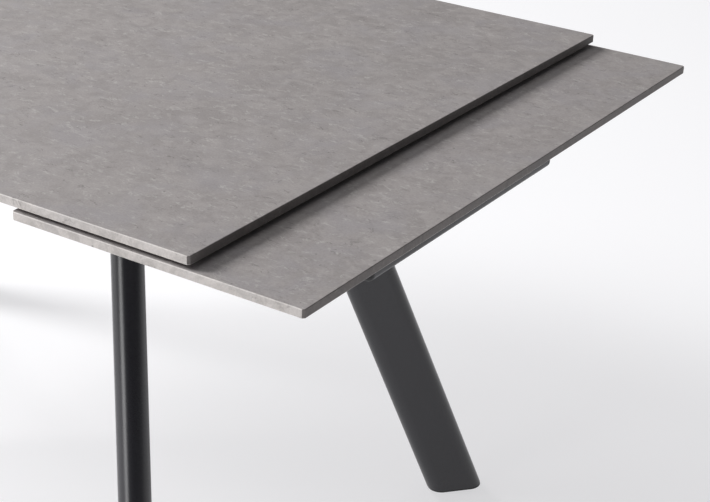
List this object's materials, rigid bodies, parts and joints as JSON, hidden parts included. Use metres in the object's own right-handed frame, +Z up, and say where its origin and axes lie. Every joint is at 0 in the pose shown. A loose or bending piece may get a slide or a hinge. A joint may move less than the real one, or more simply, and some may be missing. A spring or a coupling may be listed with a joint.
{
  "type": "extendable dining table",
  "caption": "Extendable dining table: thin stone-look top on four splayed flat-oval steel legs, with a stone leaf that slides out from under each end on telescopic slides.",
  "frame": {"origin": "on the floor, under the middle of the table", "axes": "+X along the length towards the right leaf, +Y across the width towards the back, +Z up"},
  "size_m": [1.672, 0.9, 0.75],
  "materials": {
    "stone_slab": "matte",
    "leg_coating": "satin",
    "frame_coating": "satin",
    "slide_steel": "satin",
    "fastener_steel": "satin",
    "foot_plastic": "matte",
    "cap_plastic": "matte",
    "stop_rubber": "matte",
    "pad_rubber": "matte",
    "glide_felt": "matte"
  },
  "bodies": {
    "base": {"bearer_spacers": "frame_coating", "bridge_left": "leg_coating", "bridge_right": "leg_coating", "closing_buffers": "stop_rubber", "cross_tubes": "frame_coating", "end_tie_left": "frame_coating", "end_tie_right": "frame_coating", "foot_back_left": "foot_plastic", "foot_back_right": "foot_plastic", "foot_front_left": "foot_plastic", "foot_front_right": "foot_plastic", "frame_caps": "cap_plastic", "leaf_glides": "glide_felt", "leg_back_left": "leg_coating", "leg_back_right": "leg_coating", "leg_bolts": "fastener_steel", "leg_front_left": "leg_coating", "leg_front_right": "leg_coating", "leg_nuts": "fastener_steel", "leg_plates": "leg_coating", "main_top": "stone_slab", "opening_stops": "stop_rubber", "rail_back": "frame_coating", "rail_front": "frame_coating", "slide_outer_back_left": "slide_steel", "slide_outer_back_right": "slide_steel", "slide_outer_front_left": "slide_steel", "slide_outer_front_right": "slide_steel", "top_bearer_left": "frame_coating", "top_bearer_right": "frame_coating", "top_pads": "pad_rubber", "top_screws": "fastener_steel"},
    "right_leaf_carriage": {"arm_back_right": "frame_coating", "arm_front_right": "frame_coating", "carriage_caps_right": "cap_plastic", "end_bar_caps_right": "cap_plastic", "end_bar_right": "frame_coating", "inner_bar_right": "frame_coating", "leaf_bearer_inner_right": "frame_coating", "leaf_bearer_outer_right": "frame_coating", "leaf_pads_right": "pad_rubber", "leaf_right": "stone_slab", "leaf_screws_right": "fastener_steel", "slide_inner_back_right": "slide_steel", "slide_inner_front_right": "slide_steel"},
    "left_leaf_carriage": {"arm_back_left": "frame_coating", "arm_front_left": "frame_coating", "carriage_caps_left": "cap_plastic", "end_bar_caps_left": "cap_plastic", "end_bar_left": "frame_coating", "inner_bar_left": "frame_coating", "leaf_bearer_inner_left": "frame_coating", "leaf_bearer_outer_left": "frame_coating", "leaf_left": "stone_slab", "leaf_pads_left": "pad_rubber", "leaf_screws_left": "fastener_steel", "slide_inner_back_left": "slide_steel", "slide_inner_front_left": "slide_steel"},
    "right_slides": {"slide_middle_right": "slide_steel"},
    "left_slides": {"slide_middle_left": "slide_steel"}
  },
  "joints": [
    {"name": "right_leaf_slide", "type": "slide", "parent": "base", "child": "right_leaf_carriage", "axis": [1, 0, 0], "range_m": [-0.136, 0.164]},
    {"name": "right_slide_follow", "type": "slide", "parent": "base", "child": "right_slides", "axis": [1, 0, 0], "range_m": [-0.0685, 0.0825]},
    {"name": "left_leaf_slide", "type": "slide", "parent": "base", "child": "left_leaf_carriage", "axis": [-1, 0, 0], "range_m": [-0.136, 0.164]},
    {"name": "left_slide_follow", "type": "slide", "parent": "base", "child": "left_slides", "axis": [-1, 0, 0], "range_m": [-0.0685, 0.0825]}
  ],
  "couplings": [
    {"joint": "right_slide_follow", "follows": "right_leaf_slide", "ratio": 0.5},
    {"joint": "left_slide_follow", "follows": "left_leaf_slide", "ratio": 0.5}
  ]
}
